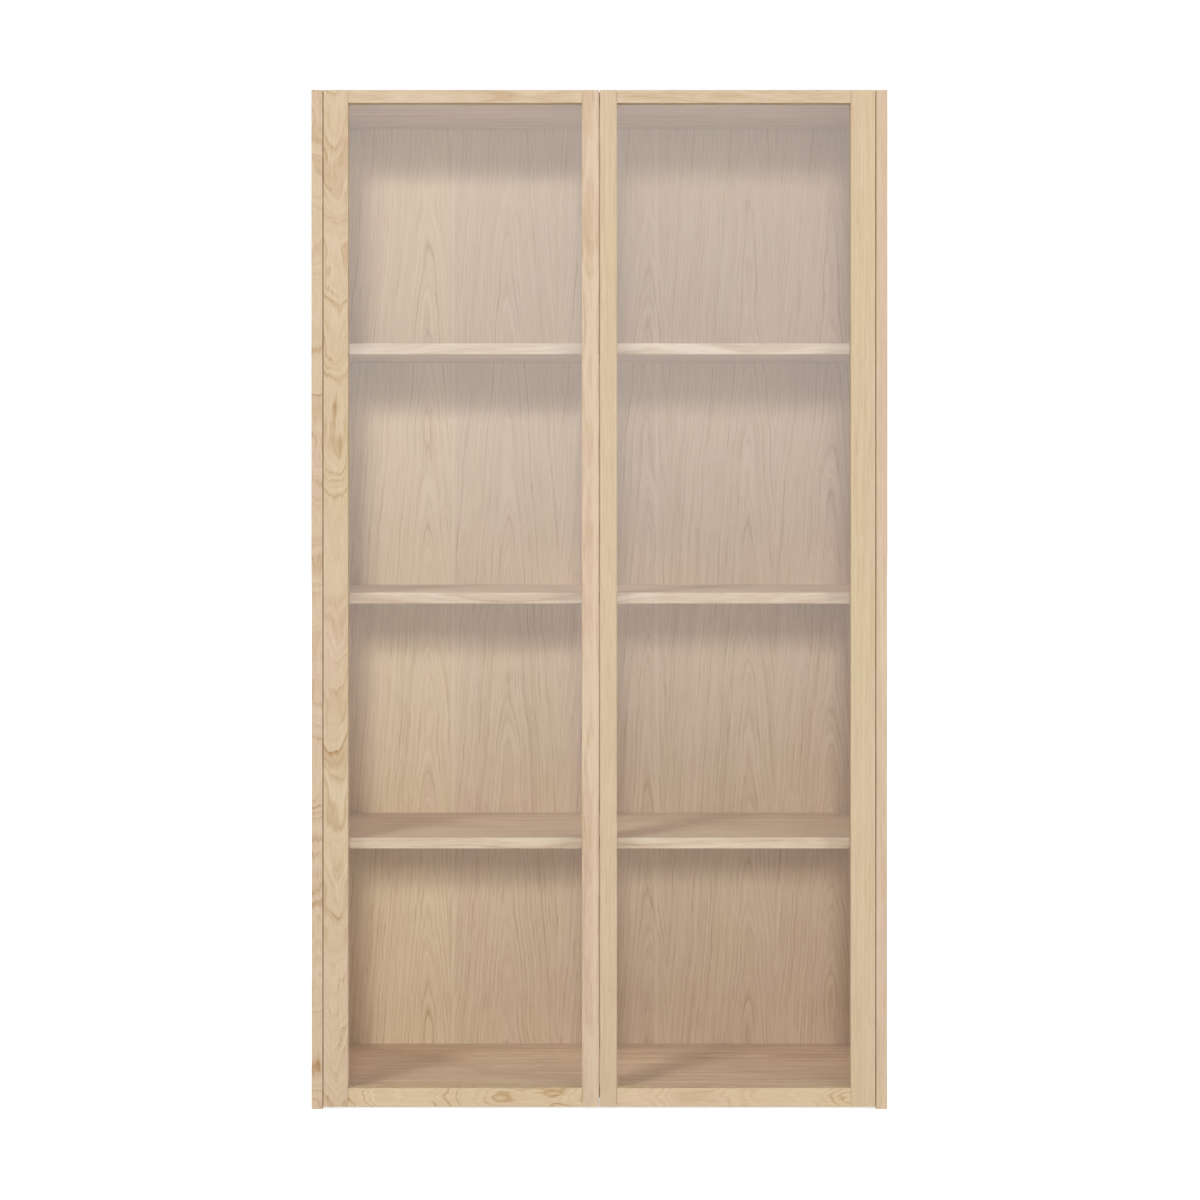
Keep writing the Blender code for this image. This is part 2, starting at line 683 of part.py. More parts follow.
def make_stile(name, side, inner, outer, glazing_edge, cups):
    """Make a stile with its glass rebate, its mortises and, where asked, its cup bores."""
    x_low, x_high = span(side, inner, outer)
    stile = board(name, (x_low, FRONT, DOOR_FLOOR_GAP), (x_high, DOOR_BACK, HEIGHT), "z")
    towards = 1 if glazing_edge == outer else -1
    past_edge = glazing_edge + towards * OVERCUT
    rebate_x = span(side, glazing_edge - towards * REBATE_WIDTH, past_edge)
    rebate = (
        (rebate_x[0], DOOR_BACK - REBATE_DEPTH, GLAZING_BOTTOM - REBATE_WIDTH),
        (rebate_x[1], DOOR_BACK + OVERCUT, GLAZING_TOP + REBATE_WIDTH),
    )
    mortise_x = span(side, glazing_edge - towards * (TENON_LENGTH + HOLE_END_GAP), past_edge)
    mortises = []
    for low, high in (
        tenon_span(DOOR_FLOOR_GAP, GLAZING_BOTTOM - REBATE_WIDTH),
        tenon_span(GLAZING_TOP + REBATE_WIDTH, HEIGHT),
    ):
        mortises.append(
            (
                (mortise_x[0], FRONT + TENON_FRONT - SEAT, low - SEAT),
                (mortise_x[1], FRONT + TENON_FRONT + TENON_THICKNESS + SEAT, high + SEAT),
            )
        )
    combine(stile, make_cutter(name + "_rebate", boxes=[rebate]), "DIFFERENCE")
    combine(stile, make_cutter(name + "_mortises", boxes=mortises), "DIFFERENCE")
    if cups:
        bores = []
        x = mirrored(side, CUP_CENTRE[0])
        for height in hinge_heights():
            start = (x, DOOR_BACK - CUP_DEPTH - SEAT, height)
            bores.append((start, (x, DOOR_BACK + OVERCUT, height), CUP_RADIUS + SEAT))
        combine(stile, make_cutter(name + "_bores", rods=bores, steps=CUP_STEPS), "DIFFERENCE")
    return stile


def make_rail(name, side, z_low, z_high, rebate_at_top):
    """Make a rail with a tenon at each end and the glass rebate along one edge."""
    x_low, x_high = span(side, GLAZING_INNER + SEAT, GLAZING_OUTER - SEAT)
    rail = board(name, (x_low, FRONT, z_low), (x_high, DOOR_BACK, z_high), "x")
    if rebate_at_top:
        rebate_z = (z_high - REBATE_WIDTH, z_high + OVERCUT)
        tenon_z = tenon_span(z_low, z_high - REBATE_WIDTH)
    else:
        rebate_z = (z_low - OVERCUT, z_low + REBATE_WIDTH)
        tenon_z = tenon_span(z_low + REBATE_WIDTH, z_high)
    tenon_front = FRONT + TENON_FRONT
    tenon_x = span(side, GLAZING_INNER - TENON_LENGTH, GLAZING_OUTER + TENON_LENGTH)
    tenons = (
        (tenon_x[0], tenon_front, tenon_z[0]),
        (tenon_x[1], tenon_front + TENON_THICKNESS, tenon_z[1]),
    )
    rebate = (
        (x_low - OVERCUT, DOOR_BACK - REBATE_DEPTH, rebate_z[0]),
        (x_high + OVERCUT, DOOR_BACK + OVERCUT, rebate_z[1]),
    )
    combine(rail, make_cutter(name + "_tenons", boxes=[tenons]), "UNION")
    combine(rail, make_cutter(name + "_rebate", boxes=[rebate]), "DIFFERENCE")
    return rail


def make_door(side, side_name, pivot):
    """Make a door's frame, its pane and the bead that holds the pane."""
    pieces = [
        make_stile(f"{side_name}_hinge_stile", side, GLAZING_OUTER, DOOR_OUTER, GLAZING_OUTER, True),
        make_stile(f"{side_name}_closing_stile", side, DOOR_INNER, GLAZING_INNER, GLAZING_INNER, False),
        make_rail(f"{side_name}_bottom_rail", side, DOOR_FLOOR_GAP, GLAZING_BOTTOM, True),
        make_rail(f"{side_name}_top_rail", side, GLAZING_TOP, HEIGHT, False),
    ]
    tuck = REBATE_WIDTH - GLASS_EDGE_GAP
    pane_x = span(side, GLAZING_INNER - tuck, GLAZING_OUTER + tuck)
    pane_front = DOOR_BACK - REBATE_DEPTH + SEAT
    pane_back = pane_front + GLASS_THICKNESS
    bm = bmesh.new()
    add_box(bm, (pane_x[0], pane_front, GLAZING_BOTTOM - tuck), (pane_x[1], pane_back, GLAZING_TOP + tuck))
    pieces.append(finish_bmesh(bm, f"{side_name}_glass", PARTS, GLASS))
    reach = REBATE_WIDTH - SEAT
    bead_x = span(side, GLAZING_INNER - reach, GLAZING_OUTER + reach)
    bm = bmesh.new()
    add_box(
        bm,
        (bead_x[0], pane_back + SEAT, GLAZING_BOTTOM - reach),
        (bead_x[1], DOOR_BACK - SEAT, GLAZING_TOP + reach),
    )
    bead = finish_bmesh(bm, f"{side_name}_glazing_bead", PARTS, OAK)
    sight_x = span(side, GLAZING_INNER, GLAZING_OUTER)
    sight = (
        (sight_x[0], FRONT, GLAZING_BOTTOM),
        (sight_x[1], DOOR_BACK + OVERCUT, GLAZING_TOP),
    )
    combine(bead, make_cutter(f"{side_name}_glazing_bead_sight", boxes=[sight]), "DIFFERENCE")
    pieces.append(bead)
    for piece in pieces:
        hang_on(piece, pivot)


def make_latch(side, side_name):
    """Make the push latch's housing under the top panel and the plunger that runs in it."""
    x = side * LATCH_X
    front = FRONT + LATCH_FRONT
    half = LATCH_WIDTH / 2
    bm = bmesh.new()
    add_box(
        bm,
        (x - half, front, LATCH_Z - LATCH_HEIGHT / 2),
        (x + half, front + LATCH_LENGTH, LATCH_Z + LATCH_HEIGHT / 2),
    )
    round_edges(bm, edges_along(bm, "y"), LATCH_CORNER, CORNER_STEPS)
    housing = finish_bmesh(bm, f"{side_name}_latch_housing", PARTS, DARK_PLASTIC)
    set_origin(housing, (x, front, LATCH_Z))
    tip = DOOR_BACK + SEAT
    bore_end = tip + PLUNGER_LENGTH + PLUNGER_TRAVEL + HOLE_END_GAP
    bore = ((x, front - OVERCUT, LATCH_Z), (x, bore_end, LATCH_Z), PLUNGER_RADIUS + SEAT)
    combine(housing, make_cutter(f"{side_name}_latch_bore", rods=[bore]), "DIFFERENCE")
    profile = [
        (0, 0),
        (PLUNGER_CAP_RADIUS - PLUNGER_CHAMFER, 0),
        (PLUNGER_CAP_RADIUS, -PLUNGER_CHAMFER),
        (PLUNGER_CAP_RADIUS, -PLUNGER_CAP),
        (PLUNGER_RADIUS, -PLUNGER_CAP),
        (PLUNGER_RADIUS, -PLUNGER_LENGTH),
        (0, -PLUNGER_LENGTH),
    ]
    mesh = turned_mesh(f"{side_name}_latch_plunger", profile, PIN_STEPS)
    plunger = object_from_mesh(mesh, f"{side_name}_latch_plunger", PARTS, DARK_PLASTIC)
    plunger.location = (x, tip, LATCH_Z)
    plunger.rotation_euler = (math.pi / 2, 0, 0)


def main():
    """Build the cabinet."""
    make_case()
    make_shelves()
    pivots = {}
    for side, side_name in ((-1, "left"), (1, "right")):
        door_axis = (mirrored(side, CUP_PIN[0]), FRONT + CUP_PIN[1], 0)
        link_axis = (mirrored(side, ARM_PIN[0]), FRONT + ARM_PIN[1], 0)
        door_pivot = make_pivot(f"{side_name}_door_pivot", door_axis)
        link_pivot = make_pivot(f"{side_name}_link_pivot", link_axis)
        pivots[side] = (door_pivot, link_pivot)
        make_door(side, side_name, door_pivot)
        make_latch(side, side_name)
    make_hinges(pivots)


main()
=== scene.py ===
"""Tall glazed display cabinet in pale oak: its finishes, its small fittings and the studio.

Lengths are in metres, +Z is up and the cabinet's front faces -Y.
"""

import math
from dataclasses import dataclass

import bpy
import numpy as np
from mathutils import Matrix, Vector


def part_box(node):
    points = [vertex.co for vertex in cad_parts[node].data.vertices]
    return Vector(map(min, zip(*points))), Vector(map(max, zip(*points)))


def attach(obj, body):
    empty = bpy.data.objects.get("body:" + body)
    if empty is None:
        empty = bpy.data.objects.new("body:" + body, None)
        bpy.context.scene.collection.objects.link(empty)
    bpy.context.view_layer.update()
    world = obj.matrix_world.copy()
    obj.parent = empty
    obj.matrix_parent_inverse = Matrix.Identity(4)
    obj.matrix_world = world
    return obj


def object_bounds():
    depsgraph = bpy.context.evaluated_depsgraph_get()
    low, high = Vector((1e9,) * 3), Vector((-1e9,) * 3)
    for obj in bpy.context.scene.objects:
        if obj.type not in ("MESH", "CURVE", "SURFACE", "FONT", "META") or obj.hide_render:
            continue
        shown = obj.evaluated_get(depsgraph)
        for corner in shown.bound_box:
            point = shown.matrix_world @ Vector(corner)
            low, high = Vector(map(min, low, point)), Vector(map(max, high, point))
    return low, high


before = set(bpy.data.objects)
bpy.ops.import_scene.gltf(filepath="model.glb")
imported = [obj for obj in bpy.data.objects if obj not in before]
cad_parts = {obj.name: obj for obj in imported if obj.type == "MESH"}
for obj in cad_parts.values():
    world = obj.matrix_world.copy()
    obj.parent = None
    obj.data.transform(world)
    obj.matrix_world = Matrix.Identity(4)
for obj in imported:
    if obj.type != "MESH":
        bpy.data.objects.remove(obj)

bl_info = {
    "name": "Glazed display cabinet",
    "version": (1, 0, 0),
    "blender": (4, 5, 0),
    "location": "View3D > Sidebar > Cabinet",
    "description": "Dresses a tall glazed display cabinet with oak, glass and its small fittings",
    "category": "Object",
}

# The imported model's box and the places that the fittings are set from
CAD_BOX = [list(corner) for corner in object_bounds()]
SIDES = {"left": -1, "right": 1}
HINGES = (1, 2, 3, 4)
SHELVES = ("lower", "middle", "upper")
DOOR_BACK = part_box("left_hinge_stile")[1].y
PANEL_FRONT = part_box("bottom_panel")[0].y
MID_HEIGHT = (CAD_BOX[0][2] + CAD_BOX[1][2]) / 2


class OakSettings(bpy.types.PropertyGroup):
    """Colours and growth of the oak."""

    pale: bpy.props.FloatVectorProperty(
        name="Pale wood",
        description="Colour of the wood between the year rings",
        subtype="COLOR",
        size=3,
        min=0,
        max=1,
        default=(0.760, 0.615, 0.446),
    )
    dark: bpy.props.FloatVectorProperty(
        name="Ring colour",
        description="Colour of the porous wood at the start of a year ring",
        subtype="COLOR",
        size=3,
        min=0,
        max=1,
        default=(0.450, 0.260, 0.110),
    )
    depth: bpy.props.FloatProperty(
        name="Depth of tone",
        description="Share of the ring colour that all of the wood holds",
        subtype="FACTOR",
        min=0,
        max=1,
        default=0.16,
    )
    roughness: bpy.props.FloatProperty(
        name="Roughness",
        description="Roughness of the oiled surface",
        subtype="FACTOR",
        min=0,
        max=1,
        default=0.55,
    )


class PaneSettings(bpy.types.PropertyGroup):
    """The float glass of the doors, with a painted reflection: the share of the white room that it
    mirrors is set to rise with height.
    """

    # Painted reflection: these settings ramp the mirrored share from the foot to the top of the pane
    painted_reflection_low: bpy.props.FloatProperty(
        name="Veil at the foot",
        description="Share of light that the pane mirrors near the floor",
        subtype="FACTOR",
        min=0,
        max=1,
        default=0.05,
    )
    painted_reflection_high: bpy.props.FloatProperty(
        name="Veil at the top",
        description="Share of light that the pane mirrors near its top",
        subtype="FACTOR",
        min=0,
        max=1,
        default=0.22,
    )
    painted_reflection_start: bpy.props.FloatProperty(
        name="Veil starts",
        description="Height up to which the mirrored share stays at its lowest",
        unit="LENGTH",
        default=0.20,
    )
    painted_reflection_end: bpy.props.FloatProperty(
        name="Veil is full",
        description="Height from which the mirrored share stays at its highest",
        unit="LENGTH",
        default=1.70,
    )
    tint: bpy.props.FloatVectorProperty(
        name="Tint",
        description="Share of each colour that the pane lets through",
        subtype="COLOR",
        size=3,
        min=0,
        max=1,
        default=(0.985, 0.992, 0.990),
    )


class FittingSettings(bpy.types.PropertyGroup):
    """Screws, bumpers and catch plates."""

    screw_radius: bpy.props.FloatProperty(
        name="Screw head radius",
        description="Radius of the heads on the hinges",
        unit="LENGTH",
        default=0.0036,
    )
    screw_height: bpy.props.FloatProperty(
        name="Screw head height",
        description="How far a head stands proud",
        unit="LENGTH",
        default=0.0015,
    )
    bumper_radius: bpy.props.FloatProperty(
        name="Bumper radius",
        description="Radius of the buffers between a door and the bottom panel",
        unit="LENGTH",
        default=0.0045,
    )
    plate_radius: bpy.props.FloatProperty(
        name="Catch plate radius",
        description="Radius of the steel discs that the latch plungers meet",
        unit="LENGTH",
        default=0.0065,
    )


class StudioSettings(bpy.types.PropertyGroup):
    """Camera and light."""

    camera_distance: bpy.props.FloatProperty(
        name="Camera distance",
        description="Distance of the camera from the middle of the cabinet",
        unit="LENGTH",
        default=4.578,
    )
    camera_height: bpy.props.FloatProperty(
        name="Camera height",
        description="Height of the level camera, and of the horizon",
        unit="LENGTH",
        default=1.316,
    )
    lens: bpy.props.FloatProperty(
        name="Lens",
        description="Focal length in millimetres",
        unit="CAMERA",
        default=63.2,
    )
    dome: bpy.props.FloatProperty(
        name="Dome",
        description="Strength of the light from all round",
        default=0.02,
    )


class Graph:
    """The node tree of one material or world. Its calls return output sockets."""

    def __init__(self, owner):
        owner.use_nodes = True
        self.tree = owner.node_tree
        self.tree.nodes.clear()

    def node(self, kind, inputs, output=0, **settings):
        """Adds a node, links or writes its inputs and returns one of its outputs."""
        node = self.tree.nodes.new(kind)
        for key, value in settings.items():
            setattr(node, key, value)
        for key, value in inputs.items():
            if isinstance(value, bpy.types.NodeSocket):
                self.tree.links.new(value, node.inputs[key])
            else:
                node.inputs[key].default_value = value
        return node.outputs[output] if node.outputs else node

    def math(self, operation, *values):
        """A Math node on one to three values."""
        return self.node("ShaderNodeMath", dict(enumerate(values)), operation=operation)

    def vector(self, x, y, z):
        """A vector of three values."""
        return self.node("ShaderNodeCombineXYZ", {0: x, 1: y, 2: z})

    def noise(self, vector, scale=1.0, detail=2.0):
        """Soft noise from 0 to 1 at a vector."""
        return self.node("ShaderNodeTexNoise", {"Vector": vector, "Scale": scale, "Detail": detail})

    def swing(self, vector, reach, detail=2.0):
        """Soft noise from about -reach to reach."""
        centred = self.math("SUBTRACT", self.noise(vector, detail=detail), 0.5)
        return self.math("MULTIPLY", centred, 2 * reach)

    def chance(self, value):
        """A colour of three numbers drawn for a whole value."""
        return self.node("ShaderNodeTexWhiteNoise", {"W": value}, 1, noise_dimensions="1D")

    def parts(self, vector):
        """The three parts of a vector or colour."""
        first = self.node("ShaderNodeSeparateXYZ", {0: vector})
        return tuple(first.node.outputs)

    def remap(self, value, low, high, to_low=0.0, to_high=1.0):
        """A smooth step from to_low to to_high as value goes from low to high."""
        return self.node(
            "ShaderNodeMapRange",
            {"Value": value, "From Min": low, "From Max": high, "To Min": to_low, "To Max": to_high},
            interpolation_type="SMOOTHSTEP",
        )

    def clamp(self, value):
        """A value held between 0 and 1."""
        return self.node("ShaderNodeClamp", {0: value})

    def mix(self, factor, first, second, blend="MIX"):
        """A mix of two colours."""
        return self.node(
            "ShaderNodeMix", {0: factor, 6: first, 7: second}, 2, data_type="RGBA", blend_type=blend
        )

    def bump(self, height, strength, depth):
        """A normal that follows a height, with the depth in metres."""
        return self.node(
            "ShaderNodeBump", {"Strength": strength, "Distance": depth, "Height": height}
        )

    def finish(self, shader, target="ShaderNodeOutputMaterial"):
        """Links the shader to the output node."""
        self.node(target, {"Surface": shader})


def rgba(colour):
    """A colour with full alpha."""
    return (*colour, 1.0)


def seen_by(graph, *kinds):
    """1 for a ray of one of these kinds, such as Camera, and 0 for others."""
    path = graph.node("ShaderNodeLightPath", {}).node
    total = path.outputs[f"Is {kinds[0]} Ray"]
    for kind in kinds[1:]:
        total = graph.math("MAXIMUM", total, path.outputs[f"Is {kind} Ray"])
    return total


@dataclass
class Board:
    """How the grain of a board runs, and the tone of its wood.

    Grain and face name the axes along the grain and square to the broad face. Edges are the joints
    between leaves of veneer, and centres the places of the logs' hearts, measured across from the
    board's middle. Heart is how far those lie behind the face, roll and span how far and over what
    length that distance swings, and sway and warp how much the rings wander sideways and crumple.
    Slope is how fast the log widens along the grain: the arches point up where it is above 0.

    Ring is the width of a year ring. Rings, lines, fibres and stains are strengths, and line_width
    is the width of a fine line. Streaks are the places of pale streaks, measured as the centres are.
    Deep is a share of the ring colour on top of the common one, tone a brightness, partly painted
    light where a board is darkened or lightened for how the lamps light it, and pink how far the
    colour leans from gold to pink. Leaves after the first lean further to pink and turn darker by
    painted_light_pink and painted_light_dim: painted light that leaves the first leaf as a lit
    patch. Each seed draws another pattern.
    """

    grain: str = "Z"
    face: str = "Y"
    edges: tuple = ()
    centres: tuple = (0.0,)
    ring: float = 0.0050
    heart: float = 0.030
    roll: float = 0.020
    span: float = 0.40
    sway: float = 0.010
    warp: float = 0.0015
    slope: float = 0.0
    rings: float = 0.55
    lines: float = 0.45
    line_width: float = 0.0028
    fibres: float = 0.40
    stains: float = 0.12
    streaks: tuple = ()
    deep: float = 0.0
    tone: float = 1.0
    pink: float = 0.5
    # Painted light: how much more pink and darker the leaves after the first are
    painted_light_pink: float = 0.0
    painted_light_dim: float = 0.0
    seed: float = 1.0


# The tone of 0.94 is painted shade: it darkens the brightly lit gable and stiles that use this grain
STRAIGHT = {
    "centres": (0.11,),
    "heart": 0.030,
    "roll": 0.004,
    "sway": 0.004,
    "rings": 0.22,
    "lines": 0.30,
    "fibres": 0.25,
    "tone": 0.94,
}
FLAT = {
    "grain": "X",
    "face": "Z",
    "centres": (0.06,),
    "heart": 0.020,
    "rings": 0.50,
    "line_width": 0.0050,
    "pink": 0.85,
}
CURLY = {
    "ring": 0.0065,
    "heart": 0.050,
    "roll": 0.030,
    "span": 0.13,
    "warp": 0.0090,
    "slope": -0.16,
    "rings": 0.90,
    "lines": 0.22,
    "fibres": 0.20,
    "stains": 0.30,
}
# Tones are partly painted light: below 1 they darken the lit gables, stiles and top rails; above 1
# they brighten the shaded back and bottom panels and lift the bottom rails
BOARDS = {
    "gable_left": Board(face="X", **CURLY, tone=0.94, pink=0.6, seed=3.1),
    "gable_right": Board(face="X", **STRAIGHT, pink=0.7, seed=5.7),
    "back_panel": Board(
        edges=(-0.337, -0.093, 0.151, 0.395),
        centres=(-0.386, -0.207, 0.109, 0.337, 0.523),
        ring=0.0080,
        heart=0.018,
        roll=0.022,
        span=0.25,
        warp=0.0035,
        slope=0.075,
        rings=0.75,
        lines=0.36,
        fibres=0.30,
        streaks=(-0.330, 0.129),
        tone=1.17,
        pink=0.20,
        # Painted light: the later leaves of the back turn more pink and darker, so the first reads as
        # a lit patch
        painted_light_pink=0.45,
        painted_light_dim=0.055,
        seed=11.0,
    ),
    "top_panel": Board(**FLAT, lines=0.90, seed=13.2),
    "bottom_panel": Board(**FLAT, lines=0.60, deep=0.20, tone=1.08, seed=17.9),
    "shelf_lower": Board(**FLAT, lines=0.55, deep=0.05, seed=19.4),
    "shelf_middle": Board(**FLAT, lines=0.90, deep=0.05, seed=23.8),
    "shelf_upper": Board(**FLAT, lines=0.90, deep=0.05, seed=29.5),
    "left_hinge_stile": Board(**CURLY, tone=0.94, seed=31.3),
    "left_closing_stile": Board(
        heart=0.050,
        roll=0.030,
        span=0.5,
        sway=0.008,
        rings=0.30,
        streaks=(0.0095,),
        tone=0.94,
        pink=0.9,
        seed=37.6,
    ),
    "left_top_rail": Board(grain="X", heart=0.045, rings=0.25, tone=0.92, seed=41.2),
    "left_bottom_rail": Board(grain="X", **CURLY, tone=1.02, pink=0.2, seed=43.7),
    "right_hinge_stile": Board(**STRAIGHT, pink=0.3, seed=47.1),
    "right_closing_stile": Board(**STRAIGHT, pink=0.2, seed=53.9),
    "right_top_rail": Board(grain="X", heart=0.045, rings=0.25, tone=0.92, seed=59.4),
    "right_bottom_rail": Board(grain="X", **CURLY, tone=1.02, pink=0.3, seed=61.8),
    "left_glazing_bead": Board(rings=0.20, seed=67.3),
    "right_glazing_bead": Board(rings=0.20, seed=71.1),
}

# Boards with a lipping, and the part of a normal from which a face counts as their edge
LIPPED = ("gable", "shelf", "top_panel", "bottom_panel")
EDGE_TURN = 0.7

# Wander of the log: the step in the noise from leaf to leaf, the span and the start of the sway,
# and how many crumples there are to a metre
LEAF_STEP = 7.3
SWAY_SHARE = 0.7
SWAY_SHIFT = 5.0
CRUMPLE_ACROSS = 45.0
CRUMPLE_ALONG = 9.0

# Width and length of the marks in the wood, and the shift that gives each kind its own noise
LINE_LENGTH = 0.300
FIBRE_WIDTH = 0.0018
FIBRE_LENGTH = 0.040
FIBRE_SHIFT = 5.0
STAIN_WIDTH = 0.007
STAIN_LENGTH = 0.110
STAIN_SHIFT = 9.0
DRIFT_WIDTH = 0.080
DRIFT_LENGTH = 0.400
DRIFT_SHIFT = 13.0
CLUSTER_WIDTH = 0.060
CLUSTER_LENGTH = 0.130
CLUSTER_SHIFT = 17.0
STREAK_WIDTH = 0.007
STREAK_LIGHT = 0.25

# The porous start of a year ring. A ramp holds the two ends of a value and what they turn into
PORE_FADE = 4.0
PORE_START = 0.15
YEAR_RAMP = (0.2, 0.9, 0.1, 1.2)
STAIN_RAMP = (0.50, 0.75)
CLUSTER_RAMP = (0.35, 0.60, 0.25, 1.25)
BROKEN_SHARE = 0.8
WHOLE_SHARE = 0.7

# Tints that the wood leans to, and what moves it from gold to pink
PINK_TINT = (1.01, 0.97, 1.00)
GOLD_TINT = (0.99, 1.00, 0.93)
TINT_START = 0.95
TINT_CHANCE = 0.3
TINT_DRIFT = 1.6

# Open pores are rougher and lower than the wood between them
PORE_ROUGHNESS = 0.12
PORE_DEPTH = 0.0003
PORE_BUMP = 0.10
FIBRE_HEIGHT = 0.3
OIL_GLOSS = 0.25


def board_axes(graph, node_name, board):
    """Places across, into and along a board from its middle, as three values.

    On a board with a lipping the first two change places where the surface faces the board's edge,
    so that the lipping shows its own flat grain.
    """
    low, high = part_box(node_name)
    middle = dict(zip("XYZ", (low + high) / 2))
    axes = dict(zip("XYZ", graph.parts(graph.node("ShaderNodeTexCoord", {}, "Object"))))
    across_name = next(name for name in "XYZ" if name not in (board.grain, board.face))
    across = graph.math("SUBTRACT", axes[across_name], middle[across_name])
    into = graph.math("SUBTRACT", axes[board.face], middle[board.face])
    if node_name.startswith(LIPPED):
        normals = dict(zip("XYZ", graph.parts(graph.node("ShaderNodeNewGeometry", {}, "Normal"))))
        turn = graph.math("ABSOLUTE", normals[across_name])
        edge = graph.math("GREATER_THAN", turn, EDGE_TURN)
        swap = graph.math("MULTIPLY", graph.math("SUBTRACT", into, across), edge)
        across, into = graph.math("ADD", across, swap), graph.math("SUBTRACT", into, swap)
    return across, into, axes[board.grain]


def log_distance(graph, board, across, into, along):
    """Distance from the heart of the log, which is the same all along one year ring.

    The distance is sqrt((across - centre)^2 + (into + depth)^2) + slope * along. Each leaf has its
    own centre, which wanders along the grain, and its depth swings, so that the face cuts the rings
    in long arches.
    """
    leaf = 0.0
    centre = board.centres[0]
    for edge, before, after in zip(board.edges, board.centres, board.centres[1:]):
        beyond = graph.math("GREATER_THAN", across, edge)
        leaf = graph.math("ADD", leaf, beyond)
        centre = graph.math("MULTIPLY_ADD", beyond, after - before, centre)
    apart = graph.math("MULTIPLY_ADD", leaf, LEAF_STEP, board.seed)
    swing_place = graph.vector(apart, 0.0, graph.math("DIVIDE", along, board.span))
    depth = graph.math("ADD", graph.swing(swing_place, board.roll, detail=1.0), board.heart)
    sway_along = graph.math("DIVIDE", along, board.span * SWAY_SHARE)
    sway = graph.swing(graph.vector(apart, SWAY_SHIFT, sway_along), board.sway)
    sideways = graph.math("SUBTRACT", across, graph.math("ADD", centre, sway))
    deep = graph.math("ADD", into, depth)
    square = graph.math("MULTIPLY_ADD", sideways, sideways, graph.math("MULTIPLY", deep, deep))
    crumple_place = graph.vector(
        graph.math("MULTIPLY", across, CRUMPLE_ACROSS),
        graph.math("MULTIPLY_ADD", into, CRUMPLE_ACROSS, apart),
        graph.math("MULTIPLY", along, CRUMPLE_ALONG),
    )
    crumple = graph.swing(crumple_place, board.warp, detail=3.0)
    distance = graph.math("ADD", graph.math("SQRT", square), crumple)
    distance = graph.math("MULTIPLY_ADD", along, board.slope, distance)
    return distance, leaf


def open_pores(graph, board, distance):
    """Strength of the porous wood with which each year ring starts.

    It is (1 - phase)^PORE_FADE past a short rise, where phase is the share of the ring that is
    behind, and it differs from year to year.
    """
    rings = graph.math("DIVIDE", distance, board.ring)
    phase = graph.math("FRACT", rings)
    whole = graph.math("FLOOR", rings)
    year = graph.node("ShaderNodeTexWhiteNoise", {"W": whole}, noise_dimensions="1D")
    pores = graph.math("POWER", graph.math("SUBTRACT", 1.0, phase), PORE_FADE)
    pores = graph.math("MULTIPLY", pores, graph.remap(phase, 0.0, PORE_START))
    return graph.math("MULTIPLY", pores, graph.remap(year, *YEAR_RAMP))


def tinted(graph, board, colour, leaf, drift):
    """A colour that leans to gold or pink, by the drift along the board and from leaf to leaf."""
    pink = [channel * board.tone for channel in PINK_TINT]
    gold = [channel * board.tone for channel in GOLD_TINT]
    chance = graph.parts(graph.chance(graph.math("ADD", leaf, board.seed)))[0]
    # Painted light: leaves after the first lean further to pink and, below, turn darker, so the first
    # leaf reads as lit
    later = graph.math("MINIMUM", leaf, 1.0)
    blush = graph.math("MULTIPLY_ADD", later, board.painted_light_pink, board.pink - TINT_START)
    blush = graph.math("MULTIPLY_ADD", chance, TINT_CHANCE, blush)
    blush = graph.math("MULTIPLY_ADD", drift, TINT_DRIFT, blush)
    tint = graph.mix(graph.clamp(blush), rgba(gold), rgba(pink))
    colour = graph.mix(1.0, colour, tint, "MULTIPLY")
    # Painted shade on the leaves after the first
    light = graph.math("MULTIPLY_ADD", later, -board.painted_light_dim, 1.0)
    return graph.mix(1.0, colour, graph.vector(light, light, light), "MULTIPLY")


